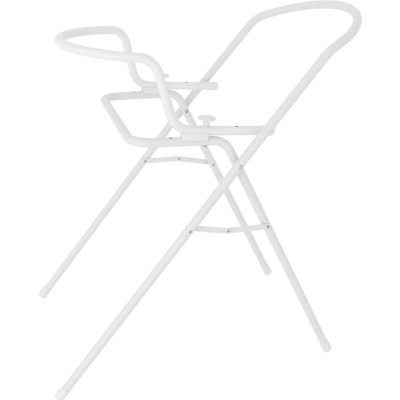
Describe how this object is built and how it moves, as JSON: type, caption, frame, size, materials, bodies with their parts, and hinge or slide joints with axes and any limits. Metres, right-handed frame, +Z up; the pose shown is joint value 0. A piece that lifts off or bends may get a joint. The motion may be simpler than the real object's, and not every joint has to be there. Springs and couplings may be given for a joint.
{
  "type": "baby bath stand",
  "caption": "Folding white tube stand that carries a baby bath between a high hoop and a low hoop, with jointed spreader bars and two knob clamps.",
  "frame": {"origin": "on the floor, below the middle of the length, halfway between the near and the far side", "axes": "+X from the low hoop towards the high hoop, +Y from the near side to the far side, +Z up"},
  "size_m": [0.8472, 0.551, 0.9273],
  "materials": {
    "tube_paint": "smooth white powder coat, semi-gloss",
    "link_paint": "smooth white powder coat on flat steel bar",
    "cap_plastic": "white moulded plastic, satin",
    "block_plastic": "white moulded plastic, satin",
    "knob_plastic": "white moulded plastic, slightly glossy",
    "washer_plastic": "natural nylon",
    "rivet_zinc": "zinc-plated steel, dull",
    "bolt_zinc": "zinc-plated steel, dull"
  },
  "bodies": {
    "outer": {"outer_frame": "tube_paint", "outer_foot_near": "cap_plastic", "outer_foot_far": "cap_plastic", "outer_link_rivet_near": "rivet_zinc", "outer_link_rivet_far": "rivet_zinc", "outer_link_washer_near": "washer_plastic", "outer_link_washer_far": "washer_plastic", "pivot_rivet_near": "rivet_zinc", "pivot_rivet_far": "rivet_zinc", "pivot_spacer_near": "block_plastic", "pivot_spacer_far": "block_plastic"},
    "inner": {"inner_frame": "tube_paint", "inner_foot_near": "cap_plastic", "inner_foot_far": "cap_plastic", "inner_link_rivet_near": "rivet_zinc", "inner_link_rivet_far": "rivet_zinc", "inner_link_washer_near": "washer_plastic", "inner_link_washer_far": "washer_plastic", "saddle_near": "block_plastic", "saddle_far": "block_plastic", "clamp_nut_near": "bolt_zinc", "clamp_nut_far": "bolt_zinc"},
    "hoop": {"upper_hoop": "tube_paint", "hoop_end_cap_near": "cap_plastic", "hoop_end_cap_far": "cap_plastic", "knob_washer_near": "washer_plastic", "knob_washer_far": "washer_plastic"},
    "knob_near": {"knob_near": "knob_plastic", "knob_stud_near": "bolt_zinc"},
    "outer_link_near": {"outer_link_near": "link_paint", "middle_rivet_head_near": "rivet_zinc"},
    "inner_link_near": {"inner_link_near": "link_paint", "middle_rivet_tail_near": "rivet_zinc"},
    "knob_far": {"knob_far": "knob_plastic", "knob_stud_far": "bolt_zinc"},
    "outer_link_far": {"outer_link_far": "link_paint", "middle_rivet_head_far": "rivet_zinc"},
    "inner_link_far": {"inner_link_far": "link_paint", "middle_rivet_tail_far": "rivet_zinc"}
  },
  "joints": [
    {"name": "fold", "type": "hinge", "parent": "outer", "child": "inner", "pos_m": [0.04029, 0, 0.591], "axis": [0, 1, 0], "range_deg": [0, 60]},
    {"name": "hoop_lift", "type": "slide", "parent": "inner", "child": "hoop", "axis": [0.061, 0, 0.9981], "range_m": [0, 0.03]},
    {"name": "knob_near_turn", "type": "hinge", "parent": "hoop", "child": "knob_near", "pos_m": [-0.03416, -0.227, 0.67158], "axis": [0.061, 0, 0.9981], "continuous": true},
    {"name": "knob_far_turn", "type": "hinge", "parent": "hoop", "child": "knob_far", "pos_m": [-0.03416, 0.227, 0.67158], "axis": [0.061, 0, 0.9981], "continuous": true},
    {"name": "outer_link_near_swing", "type": "hinge", "parent": "outer", "child": "outer_link_near", "pos_m": [-0.08046, -0.262, 0.43534], "axis": [0, 1, 0], "range_deg": [0, 110.26]},
    {"name": "inner_link_near_swing", "type": "hinge", "parent": "inner", "child": "inner_link_near", "pos_m": [0.12942, -0.233, 0.41532], "axis": [0, 1, 0], "range_deg": [-110.26, 0]},
    {"name": "outer_link_far_swing", "type": "hinge", "parent": "outer", "child": "outer_link_far", "pos_m": [-0.08046, 0.262, 0.43534], "axis": [0, 1, 0], "range_deg": [-50.26, 0]},
    {"name": "inner_link_far_swing", "type": "hinge", "parent": "inner", "child": "inner_link_far", "pos_m": [0.12942, 0.233, 0.41532], "axis": [0, 1, 0], "range_deg": [0, 50.26]}
  ],
  "couplings": [
    {"joint": "outer_link_near_swing", "follows": "fold", "ratio": 1.8368},
    {"joint": "inner_link_near_swing", "follows": "fold", "ratio": -1.8368},
    {"joint": "outer_link_far_swing", "follows": "fold", "ratio": -0.83676},
    {"joint": "inner_link_far_swing", "follows": "fold", "ratio": 0.83676}
  ]
}
